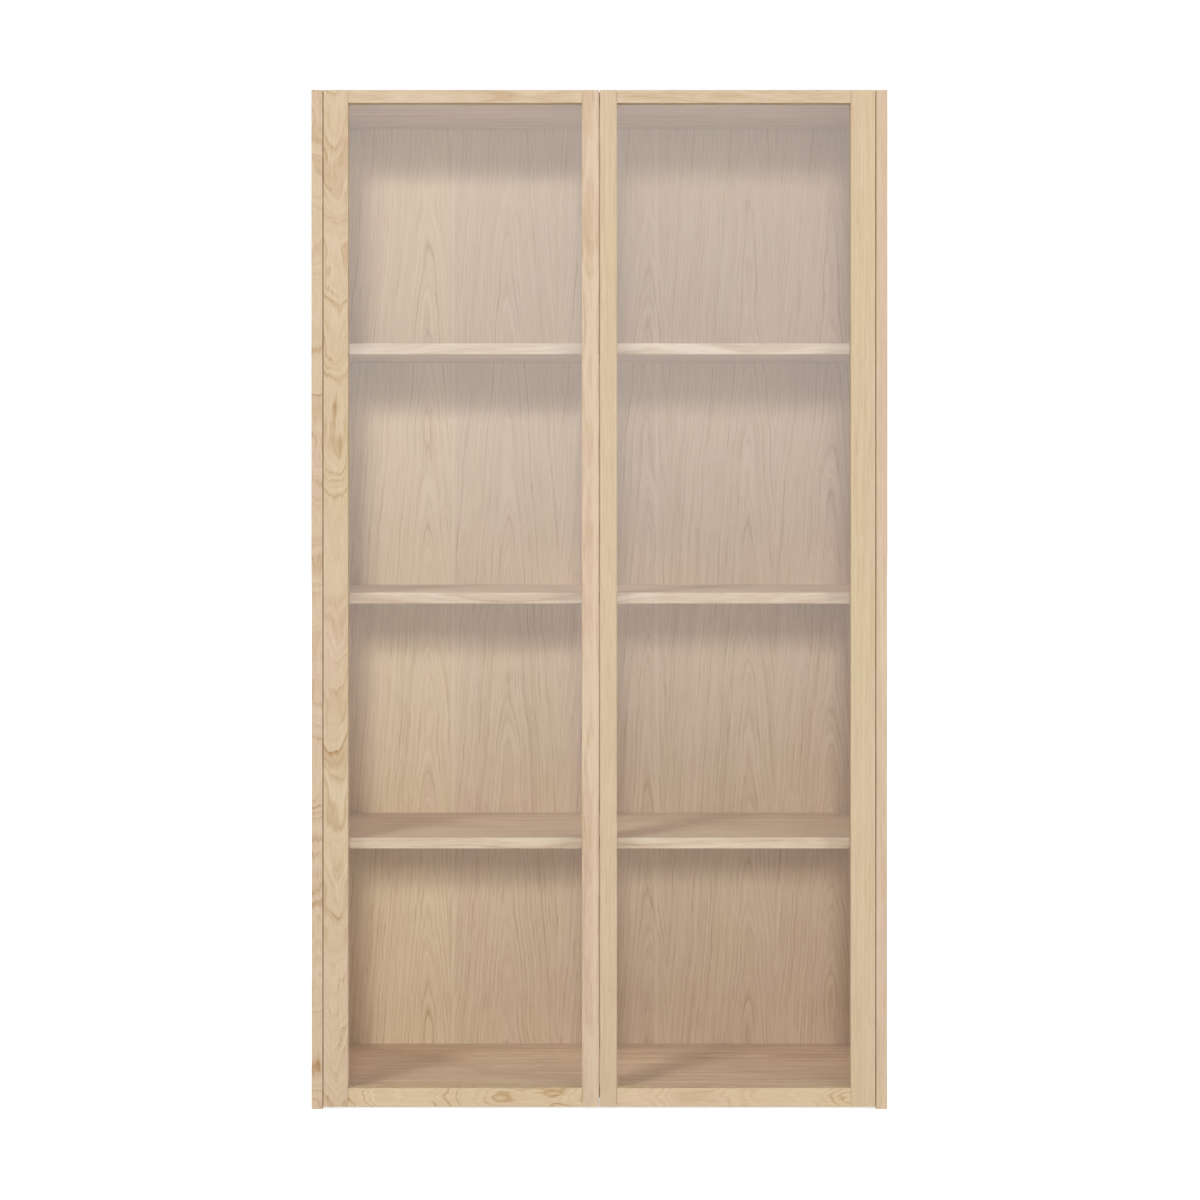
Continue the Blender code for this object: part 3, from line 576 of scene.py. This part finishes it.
def oak_material(node_name, board, oak):
    """Oak for one board: year rings, lines, fibres, stains and a slow drift of tone."""
    material = bpy.data.materials.new(f"Oak {node_name.replace('_', ' ')}")
    graph = Graph(material)
    across, into, along = board_axes(graph, node_name, board)
    distance, leaf = log_distance(graph, board, across, into, along)
    pores = open_pores(graph, board, distance)

    def stretched(width, length, shift, base=across):
        """Coordinates in which a streak of this width and length has size 1."""
        return graph.vector(
            graph.math("DIVIDE", base, width),
            graph.math("MULTIPLY_ADD", into, 1 / width, board.seed + shift),
            graph.math("DIVIDE", along, length),
        )

    line = graph.swing(stretched(board.line_width, LINE_LENGTH, 0.0, distance), 1.0)
    fibre = graph.swing(stretched(FIBRE_WIDTH, FIBRE_LENGTH, FIBRE_SHIFT), 1.0)
    stain = graph.noise(stretched(STAIN_WIDTH, STAIN_LENGTH, STAIN_SHIFT, distance))
    stain = graph.remap(stain, *STAIN_RAMP)
    drift = graph.noise(stretched(DRIFT_WIDTH, DRIFT_LENGTH, DRIFT_SHIFT))
    cluster = graph.noise(stretched(CLUSTER_WIDTH, CLUSTER_LENGTH, CLUSTER_SHIFT), detail=1.0)
    cluster = graph.remap(cluster, *CLUSTER_RAMP)

    broken = graph.math("MULTIPLY_ADD", fibre, BROKEN_SHARE, WHOLE_SHARE)
    broken = graph.math("MULTIPLY", broken, cluster)
    share = graph.math("MULTIPLY", graph.math("MULTIPLY", pores, broken), board.rings)
    share = graph.math("MULTIPLY_ADD", line, board.lines, share)
    share = graph.math("MULTIPLY_ADD", fibre, board.fibres, share)
    share = graph.math("MULTIPLY_ADD", stain, board.stains, share)
    share = graph.math("ADD", share, oak.depth + board.deep)
    for streak in board.streaks:
        away = graph.math("ABSOLUTE", graph.math("SUBTRACT", across, streak))
        share = graph.math("SUBTRACT", share, graph.remap(away, 0.0, STREAK_WIDTH, STREAK_LIGHT, 0.0))

    colour = graph.mix(graph.clamp(share), rgba(oak.pale), rgba(oak.dark))
    colour = tinted(graph, board, colour, leaf, drift)
    roughness = graph.math("MULTIPLY_ADD", pores, PORE_ROUGHNESS, oak.roughness)
    height = graph.math("SUBTRACT", graph.math("MULTIPLY", fibre, FIBRE_HEIGHT), pores)
    shader = graph.node(
        "ShaderNodeBsdfPrincipled",
        {
            "Base Color": colour,
            "Roughness": roughness,
            "Specular IOR Level": OIL_GLOSS,
            "Normal": graph.bump(height, PORE_BUMP, PORE_DEPTH),
        },
    )
    graph.finish(shader)
    return material


# Noise to a metre in the drawn streak and the mottle, and how strongly each shows
DRAWN_SCALE = (400.0, 400.0, 60.0)
DRAWN_TONE = 0.6
DRAWN_ROUGHNESS = 0.14
DRAWN_BUMP = 0.05
DRAWN_DEPTH = 0.0002
MOTTLE_SCALE = 60.0
MOTTLE_TONE = 0.4
DULL_SHARE = 0.82


def metal_material(name, colour, roughness):
    """Plated steel: a drawn streak in its tone, roughness and bump, and a faint mottle in its tone."""
    material = bpy.data.materials.new(name)
    graph = Graph(material)
    place = graph.node("ShaderNodeTexCoord", {}, "Object")
    along = graph.node("ShaderNodeVectorMath", {0: place, 1: DRAWN_SCALE}, operation="MULTIPLY")
    drawn = graph.noise(along, detail=3.0)
    mottle = graph.math("MULTIPLY", graph.noise(place, MOTTLE_SCALE), MOTTLE_TONE)
    bright = graph.math("MULTIPLY_ADD", drawn, DRAWN_TONE, mottle)
    dull = [channel * DULL_SHARE for channel in colour]
    shader = graph.node(
        "ShaderNodeBsdfPrincipled",
        {
            "Base Color": graph.mix(bright, rgba(dull), rgba(colour)),
            "Metallic": 1.0,
            "Roughness": graph.math("MULTIPLY_ADD", drawn, DRAWN_ROUGHNESS, roughness),
            "Normal": graph.bump(drawn, DRAWN_BUMP, DRAWN_DEPTH),
        },
    )
    graph.finish(shader)
    return material


# Noise to a metre in the sparked grain and the cloud, and how strongly each shows
SPARK_SCALE = 2600.0
SPARK_ROUGHNESS = 0.15
SPARK_BUMP = 0.15
SPARK_DEPTH = 0.0001
CLOUD_SCALE = 90.0
CLOUD_LIGHT = 1.35


def plastic_material(name, colour, roughness):
    """Moulded plastic: a fine sparked grain and a slight cloud in its tone."""
    material = bpy.data.materials.new(name)
    graph = Graph(material)
    place = graph.node("ShaderNodeTexCoord", {}, "Object")
    grain = graph.noise(place, SPARK_SCALE)
    cloud = graph.noise(place, CLOUD_SCALE)
    light = [channel * CLOUD_LIGHT for channel in colour]
    shader = graph.node(
        "ShaderNodeBsdfPrincipled",
        {
            "Base Color": graph.mix(cloud, rgba(colour), rgba(light)),
            "Roughness": graph.math("MULTIPLY_ADD", grain, SPARK_ROUGHNESS, roughness),
            "Normal": graph.bump(grain, SPARK_BUMP, SPARK_DEPTH),
        },
    )
    graph.finish(shader)
    return material


# Tint of the painted reflection, and the slow ripple of float glass in the mirror's roughness
PAINTED_REFLECTION_TINT = (0.92, 0.96, 1.00)
RIPPLE_SCALE = 3.0
RIPPLE_ROUGHNESS = 0.02


def pane_material(pane):
    """Clear float glass as a thin pane.

    It lets light straight through. To the eye it mirrors a share of the white room in front, and
    that share is a painted reflection that rises with height, though the room is evenly white.
    """
    material = bpy.data.materials.new("Float glass")
    graph = Graph(material)
    place = graph.node("ShaderNodeTexCoord", {}, "Object")
    height = graph.parts(place)[2]
    # Painted reflection: the mirrored share grows with the pane's height, not with anything in the
    # room
    painted_reflection_share = graph.remap(height, pane.painted_reflection_start, pane.painted_reflection_end, pane.painted_reflection_low, pane.painted_reflection_high)
    front = graph.math("SUBTRACT", 1.0, graph.node("ShaderNodeNewGeometry", {}, "Backfacing"))
    looked_at = graph.math("SUBTRACT", 1.0, seen_by(graph, "Shadow", "Diffuse"))
    mirror = graph.math("MULTIPLY", painted_reflection_share, graph.math("MULTIPLY", front, looked_at))
    clear = graph.node("ShaderNodeBsdfTransparent", {"Color": rgba(pane.tint)})
    rough = graph.math("MULTIPLY", graph.noise(place, RIPPLE_SCALE), RIPPLE_ROUGHNESS)
    gloss = graph.node("ShaderNodeBsdfAnisotropic", {"Color": rgba(PAINTED_REFLECTION_TINT), "Roughness": rough})
    graph.finish(graph.node("ShaderNodeMixShader", {0: mirror, 1: clear, 2: gloss}))
    return material


# How each finish is made, its colour and its roughness
FINISHES = {
    "Satin nickel": (metal_material, (0.66, 0.64, 0.61), 0.24),
    "Bright zinc": (metal_material, (0.72, 0.73, 0.75), 0.30),
    "Grey plastic": (plastic_material, (0.060, 0.060, 0.062), 0.48),
    "Buffer silicone": (plastic_material, (0.62, 0.61, 0.58), 0.40),
}


def finish_of(name):
    """The material of a finish, made the first time that it is asked for."""
    make, colour, roughness = FINISHES[name]
    return bpy.data.materials.get(name) or make(name, colour, roughness)


def dress(node, material):
    """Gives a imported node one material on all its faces."""
    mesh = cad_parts[node].data
    mesh.materials.clear()
    mesh.materials.append(material)
    mesh.polygons.foreach_set("material_index", np.zeros(len(mesh.polygons), dtype=np.int32))


SHARP_ANGLE = math.radians(40)


def add_piece(name, patches, material, body):
    """One mesh object from several closed shapes, each a pair of arrays: points and faces.

    A face whose last two corners are the same point is a triangle.
    """
    points = []
    faces = []
    start = 0
    for shape_points, shape_faces in patches:
        points.append(shape_points)
        faces.append(shape_faces + start)
        start += len(shape_points)
    mesh = bpy.data.meshes.new(name)
    quads = [face[:4] if face[3] != face[2] else face[:3] for face in np.concatenate(faces).tolist()]
    mesh.from_pydata(np.concatenate(points).tolist(), [], quads)
    mesh.shade_smooth()
    mesh.set_sharp_from_angle(angle=SHARP_ANGLE)
    mesh.materials.append(material)
    piece = bpy.data.objects.new(name, mesh)
    bpy.context.scene.collection.objects.link(piece)
    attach(piece, body)
    return piece


def turned(radii, heights, sides, dent=None):
    """A closed turned shape, as points and faces.

    A point at row i and column j is (radius_i cos t_j, radius_i sin t_j, height_i), with t_j the
    share j / sides of a turn. The first and last row lie on the axis and close to one point. Dent
    is a function of x and y whose value lowers each point.
    """
    turn = np.arange(sides) * 2 * math.pi / sides
    radius, angle = np.meshgrid(np.asarray(radii[1:-1]), turn, indexing="ij")
    height = np.repeat(np.asarray(heights[1:-1])[:, None], sides, axis=1)
    x, y = radius * np.cos(angle), radius * np.sin(angle)
    ends = np.array([[0.0, 0.0, heights[0]], [0.0, 0.0, heights[-1]]])
    if dent is not None:
        height = height - dent(x, y)
        ends[0, 2] -= dent(0.0, 0.0)
    grid = np.stack([x, y, height], axis=-1).reshape(-1, 3)
    rows = len(radii) - 2
    row, column = np.meshgrid(np.arange(rows - 1), np.arange(sides), indexing="ij")
    near = row * sides + column
    after = row * sides + (column + 1) % sides
    quads = np.stack([near, near + sides, after + sides, after], axis=-1).reshape(-1, 4)
    around = np.arange(sides)
    beyond = (around + 1) % sides
    first, last = rows * sides, rows * sides + 1
    lid = np.stack([np.full(sides, first), around, beyond, beyond], axis=-1)
    base = (rows - 1) * sides
    floor = np.stack([np.full(sides, last), base + beyond, base + around, base + around], axis=-1)
    return np.concatenate([grid, ends]), np.concatenate([quads, lid, floor])


# Screw heads, with rings, fall and recess as shares of the radius or the height, and discs
HEAD_SIDES = 48
HEAD_RINGS = (0.0, 0.06, 0.14, 0.22, 0.30, 0.38, 0.46, 0.54, 0.62, 0.70, 0.80, 0.90, 0.97, 1.0)
HEAD_FALL = 0.45
RECESS_REACH = 0.62
RECESS_HALF_WIDTH = 0.12
RECESS_DEPTH = 0.9
DISC_SIDES = 32
RIM_RINGS = 6


def screw_head(radius, height):
    """A raised head with a cross recess, standing on z = 0 and facing +Z.

    The dome falls as height * (1 - HEAD_FALL * (r / radius)^2). The recess is two crossed slots
    whose depth falls to nothing at RECESS_REACH of the radius.
    """
    share = np.array(HEAD_RINGS)
    radii = [*(share * radius), radius, 0.0]
    heights = [*(height * (1 - HEAD_FALL * share**2)), 0.0, 0.0]

    def recess(x, y):
        """Depth of the cross at a place on the head."""
        reach = np.clip(1 - (x * x + y * y) / (RECESS_REACH * radius) ** 2, 0, 1)
        slot = np.minimum(np.abs(x), np.abs(y)) < RECESS_HALF_WIDTH * radius
        return RECESS_DEPTH * height * reach * slot

    return turned(radii, heights, HEAD_SIDES, recess)


def rounded_disc(radius, thickness, edge):
    """A flat disc with a rounded rim, standing on z = 0.

    The rim is a quarter of a circle: radius - edge + edge sin t at the height
    thickness - edge + edge cos t, with t from 0 to a quarter turn.
    """
    turn = np.linspace(0, math.pi / 2, RIM_RINGS)
    radii = [0.0, radius / 2, *(radius - edge + edge * np.sin(turn)), radius, 0.0]
    heights = [thickness, thickness, *(thickness - edge + edge * np.cos(turn)), 0.0, 0.0]
    return turned(radii, heights, DISC_SIDES)


def placed(shape, place, facing, spin=0.0):
    """A shape turned so that its +Z looks along an axis, then moved to a place.

    Each point becomes place + x * side + y * up + z * facing, where side and up are turned about
    facing by spin.
    """
    points, faces = shape
    z = np.asarray(facing, dtype=float)
    upright = abs(z[2]) > 0.5
    x = np.array([1.0, 0.0, 0.0]) if upright else np.array([0.0, 0.0, 1.0])
    y = np.cross(z, x)
    side = math.cos(spin) * x + math.sin(spin) * y
    up = np.cross(z, side)
    return points @ np.stack([side, up, z]) + np.asarray(place), faces


class CABINET_OT_case(bpy.types.Operator):
    """Gives the gables, the panels and the shelves their oak"""

    bl_idname = "cabinet.case"
    bl_label = "Oak case"

    def execute(self, context):
        oak = context.scene.cabinet_oak
        shelves = [f"shelf_{shelf}" for shelf in SHELVES]
        panels = ("gable_left", "gable_right", "top_panel", "bottom_panel", "back_panel")
        for node in (*panels, *shelves):
            dress(node, oak_material(node, BOARDS[node], oak))
        return {"FINISHED"}


class CABINET_OT_doors(bpy.types.Operator):
    """Gives the stiles, the rails and the glazing beads of the doors their oak"""

    bl_idname = "cabinet.doors"
    bl_label = "Oak door frames"

    def execute(self, context):
        oak = context.scene.cabinet_oak
        for side in SIDES:
            for part in ("hinge_stile", "closing_stile", "top_rail", "bottom_rail", "glazing_bead"):
                node = f"{side}_{part}"
                dress(node, oak_material(node, BOARDS[node], oak))
        return {"FINISHED"}


class CABINET_OT_panes(bpy.types.Operator):
    """Gives the panes of the doors their glass"""

    bl_idname = "cabinet.panes"
    bl_label = "Glass panes"

    def execute(self, context):
        material = pane_material(context.scene.cabinet_pane)
        for side in SIDES:
            dress(f"{side}_glass", material)
        return {"FINISHED"}


# Places of the screws on the ears of a hinge cup and on the mounting plate, and the turn of a cross
EAR_SCREW_OFFSET = 0.0095
EAR_SCREW_PITCH = 0.045
PLATE_THICKNESS = 0.0025
PLATE_SCREW_PITCH = 0.032
PLATE_SCREW_FROM_REAR = 0.022
SCREW_SPIN = 0.7


class CABINET_OT_hinges(bpy.types.Operator):
    """Plates the hinges with nickel and adds the screws that hold them"""

    bl_idname = "cabinet.hinges"
    bl_label = "Hinges and screws"

    def execute(self, context):
        fitting = context.scene.cabinet_fitting
        head = screw_head(fitting.screw_radius, fitting.screw_height)
        for side, sign in SIDES.items():
            ear_heads = []
            plate_heads = []
            for hinge in HINGES:
                for part in ("cup", "link", "arm"):
                    dress(f"{side}_hinge_{part}_{hinge}", finish_of("Satin nickel"))
                cup_low, cup_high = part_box(f"{side}_hinge_cup_{hinge}")
                arm_low, arm_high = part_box(f"{side}_hinge_arm_{hinge}")
                centre = (cup_low + cup_high) / 2
                gable_side = arm_low.x if sign < 0 else arm_high.x
                for end in (-1, 1):
                    spin = SCREW_SPIN * (hinge + end)
                    ear = (
                        centre.x - sign * EAR_SCREW_OFFSET,
                        cup_high.y,
                        centre.z + end * EAR_SCREW_PITCH / 2,
                    )
                    ear_heads.append(placed(head, ear, (0, 1, 0), spin))
                    plate = (
                        gable_side - sign * PLATE_THICKNESS,
                        arm_high.y - PLATE_SCREW_FROM_REAR,
                        centre.z + end * PLATE_SCREW_PITCH / 2,
                    )
                    plate_heads.append(placed(head, plate, (-sign, 0, 0), spin))
            zinc = finish_of("Bright zinc")
            add_piece(f"{side}_cup_screws", ear_heads, zinc, f"{side}_door")
            add_piece(f"{side}_plate_screws", plate_heads, zinc, "carcass")
        return {"FINISHED"}


# Latch screws, as shares of a hinge screw, and the catch plates that the plungers meet
LATCH_SCREW_INSET = 0.008
LATCH_SCREW_RADIUS = 0.8
LATCH_SCREW_HEIGHT = 0.7
PLATE_SHEET = 0.00025
PLATE_EDGE = 0.4


class CABINET_OT_latches(bpy.types.Operator):
    """Finishes the push latches and adds their screws and catch plates"""

    bl_idname = "cabinet.latches"
    bl_label = "Push latches"

    def execute(self, context):
        fitting = context.scene.cabinet_fitting
        head = screw_head(
            fitting.screw_radius * LATCH_SCREW_RADIUS, fitting.screw_height * LATCH_SCREW_HEIGHT
        )
        disc = rounded_disc(fitting.plate_radius, PLATE_SHEET, PLATE_SHEET * PLATE_EDGE)
        for side in SIDES:
            for part in ("housing", "plunger"):
                dress(f"{side}_latch_{part}", finish_of("Grey plastic"))
            low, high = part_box(f"{side}_latch_housing")
            middle = (low + high) / 2
            places = (low.y + LATCH_SCREW_INSET, high.y - LATCH_SCREW_INSET)
            heads = [placed(head, (middle.x, y, low.z), (0, 0, -1), SCREW_SPIN) for y in places]
            zinc = finish_of("Bright zinc")
            add_piece(f"{side}_latch_screws", heads, zinc, "carcass")
            plate = placed(disc, (middle.x, DOOR_BACK, middle.z), (0, 1, 0))
            nickel = finish_of("Satin nickel")
            add_piece(f"{side}_catch_plate", [plate], nickel, f"{side}_door")
        return {"FINISHED"}


class CABINET_OT_shelf_pins(bpy.types.Operator):
    """Plates the stepped pins that carry the shelves"""

    bl_idname = "cabinet.shelf_pins"
    bl_label = "Shelf pins"

    def execute(self, context):
        for shelf in SHELVES:
            for side in SIDES:
                for row in ("front", "rear"):
                    dress(f"shelf_pin_{shelf}_{side}_{row}", finish_of("Bright zinc"))
        return {"FINISHED"}


BUMPER_GAP = 0.0004
BUMPER_EDGE = 0.45


class CABINET_OT_bumpers(bpy.types.Operator):
    """Adds the buffers that the doors close against"""

    bl_idname = "cabinet.bumpers"
    bl_label = "Door bumpers"

    def execute(self, context):
        fitting = context.scene.cabinet_fitting
        thickness = PANEL_FRONT - DOOR_BACK - BUMPER_GAP
        button = rounded_disc(fitting.bumper_radius, thickness, thickness * BUMPER_EDGE)
        low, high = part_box("bottom_panel")
        for side in SIDES:
            stile_low, stile_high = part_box(f"{side}_closing_stile")
            place = ((stile_low.x + stile_high.x) / 2, PANEL_FRONT, (low.z + high.z) / 2)
            shape = placed(button, place, (0, -1, 0))
            silicone = finish_of("Buffer silicone")
            add_piece(f"{side}_bumper", [shape], silicone, "carcass")
        return {"FINISHED"}


@dataclass
class Lamp:
    """A square soft lamp: the side it stands on, its height above the level, its size and its light.

    Azimuth 0 is straight in front and grows to the right. Level is the share of white that the
    lamp alone gives a surface that faces it.
    """

    azimuth: float
    elevation: float
    size: float
    level: float


LAMPS = {
    "key": Lamp(azimuth=-1.5, elevation=18, size=3.0, level=0.24),
    "overhead": Lamp(azimuth=-43, elevation=48, size=3.5, level=0.28),
    "overhead right": Lamp(azimuth=30, elevation=52, size=5.0, level=0.10),
    "right": Lamp(azimuth=58, elevation=12, size=1.0, level=0.25),
    "far right": Lamp(azimuth=65, elevation=6, size=2.0, level=0.13),
    "left": Lamp(azimuth=-60, elevation=8, size=3.3, level=0.17),
    "rear left": Lamp(azimuth=-140, elevation=30, size=8, level=0.45),
    "rear right": Lamp(azimuth=140, elevation=30, size=8, level=0.45),
}

# How far the lamps stand, the picture's frame, and how the camera sees the floor
LAMP_DISTANCE = 20.0
SENSOR = 36.0
FRAME_SHIFT = (0.0005, -0.1019)
FLOOR_SIZE = 60.0
FLOOR_GREY = (0.80, 0.80, 0.80)
WHITE = (1.0, 1.0, 1.0)
NEAR_LIFT = 0.64
FAR_LIFT = 1.0
LIFT_START = 0.6
LIFT_END = 2.6


def soft_lamp(name, lamp):
    """An area lamp that looks at the middle of the cabinet.

    A square lamp of power P and area A has radiance P / (pi A), so a surface that faces it at
    distance D gets P / (pi D^2), and a share of white of P / (pi^2 D^2).
    """
    data = bpy.data.lights.new(name, "AREA")
    data.shape = "SQUARE"
    data.size = lamp.size
    data.energy = lamp.level * math.pi**2 * LAMP_DISTANCE**2
    light = bpy.data.objects.new(name, data)
    azimuth = math.radians(lamp.azimuth)
    elevation = math.radians(lamp.elevation)
    flat = LAMP_DISTANCE * math.cos(elevation)
    light.location = (
        flat * math.sin(azimuth),
        -flat * math.cos(azimuth),
        MID_HEIGHT + LAMP_DISTANCE * math.sin(elevation),
    )
    light.rotation_euler = (math.pi / 2 - elevation, 0, azimuth)
    light.visible_camera = False
    light.visible_glossy = False
    bpy.context.scene.collection.objects.link(light)


class CABINET_OT_studio(bpy.types.Operator):
    """Sets up the camera, the floor, the surround and the lamps"""

    bl_idname = "cabinet.studio"
    bl_label = "Studio"

    def execute(self, context):
        studio = context.scene.cabinet_studio
        self.camera(context, studio)
        self.surround(context, studio)
        self.floor()
        for name, lamp in LAMPS.items():
            soft_lamp(f"Lamp {name}", lamp)
        context.scene.view_settings.view_transform = "Standard"
        return {"FINISHED"}

    def camera(self, context, studio):
        """A level camera whose picture is shifted down."""
        data = bpy.data.cameras.new("Camera")
        data.lens = studio.lens
        data.sensor_width = SENSOR
        data.shift_x, data.shift_y = FRAME_SHIFT
        camera = bpy.data.objects.new("Camera", data)
        camera.location = (0, -studio.camera_distance, studio.camera_height)
        camera.rotation_euler = (math.pi / 2, 0, 0)
        context.scene.collection.objects.link(camera)
        context.scene.camera = camera

    def surround(self, context, studio):
        """White to look at and in mirrors, and a soft dome as light."""
        world = bpy.data.worlds.new("Surround")
        context.scene.world = world
        graph = Graph(world)
        colour = rgba(WHITE)
        dome = graph.node("ShaderNodeBackground", {"Color": colour, "Strength": studio.dome})
        white = graph.node("ShaderNodeBackground", {"Color": colour, "Strength": 1.0})
        seen = seen_by(graph, "Camera", "Glossy", "Transmission")
        shader = graph.node("ShaderNodeMixShader", {0: seen, 1: dome, 2: white})
        graph.finish(shader, "ShaderNodeOutputWorld")

    def floor(self):
        """A pale floor that the camera sees as white, with the shadow near the cabinet kept."""
        half = FLOOR_SIZE / 2
        mesh = bpy.data.meshes.new("Floor")
        corners = [(-half, -half, 0), (half, -half, 0), (half, half, 0), (-half, half, 0)]
        mesh.from_pydata(corners, [], [(0, 1, 2, 3)])
        material = bpy.data.materials.new("Pale floor")
        graph = Graph(material)
        lit = graph.node("ShaderNodeBsdfDiffuse", {"Color": rgba(FLOOR_GREY)})
        place = graph.node("ShaderNodeTexCoord", {}, "Object")
        away = graph.node("ShaderNodeVectorMath", {0: place}, "Value", operation="LENGTH")
        strength = graph.remap(away, LIFT_START, LIFT_END, NEAR_LIFT, FAR_LIFT)
        lift = graph.node("ShaderNodeEmission", {"Strength": strength})
        lifted = graph.node("ShaderNodeAddShader", {0: lit, 1: lift})
        seen = seen_by(graph, "Camera", "Glossy", "Transmission")
        graph.finish(graph.node("ShaderNodeMixShader", {0: seen, 1: lit, 2: lifted}))
        mesh.materials.append(material)
        floor = bpy.data.objects.new("floor", mesh)
        floor.visible_glossy = False
        bpy.context.scene.collection.objects.link(floor)


class CABINET_PT_panel(bpy.types.Panel):
    """Lists the settings and the steps that dress the cabinet"""

    bl_idname = "CABINET_PT_panel"
    bl_label = "Glazed display cabinet"
    bl_space_type = "VIEW_3D"
    bl_region_type = "UI"
    bl_category = "Cabinet"

    def draw(self, context):
        layout = self.layout
        for settings in SETTINGS:
            group = getattr(context.scene, settings)
            for name in group.bl_rna.properties.keys():
                if name not in ("rna_type", "name"):
                    layout.prop(group, name)
        for operator in OPERATORS:
            layout.operator(operator.bl_idname)


SETTINGS = {
    "cabinet_oak": OakSettings,
    "cabinet_pane": PaneSettings,
    "cabinet_fitting": FittingSettings,
    "cabinet_studio": StudioSettings,
}
OPERATORS = (
    CABINET_OT_studio,
    CABINET_OT_case,
    CABINET_OT_doors,
    CABINET_OT_panes,
    CABINET_OT_hinges,
    CABINET_OT_latches,
    CABINET_OT_shelf_pins,
    CABINET_OT_bumpers,
)


def register():
    """Registers the settings, the operators and the panel."""
    for name, group in SETTINGS.items():
        bpy.utils.register_class(group)
        setattr(bpy.types.Scene, name, bpy.props.PointerProperty(type=group))
    for operator in OPERATORS:
        bpy.utils.register_class(operator)
    bpy.utils.register_class(CABINET_PT_panel)


def unregister():
    """Takes away what register added."""
    bpy.utils.unregister_class(CABINET_PT_panel)
    for operator in reversed(OPERATORS):
        bpy.utils.unregister_class(operator)
    for name, group in SETTINGS.items():
        delattr(bpy.types.Scene, name)
        bpy.utils.unregister_class(group)


def main():
    """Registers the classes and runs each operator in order."""
    register()
    for operator in OPERATORS:
        group, name = operator.bl_idname.split(".")
        getattr(getattr(bpy.ops, group), name)()


if __name__ == "__main__":
    main()
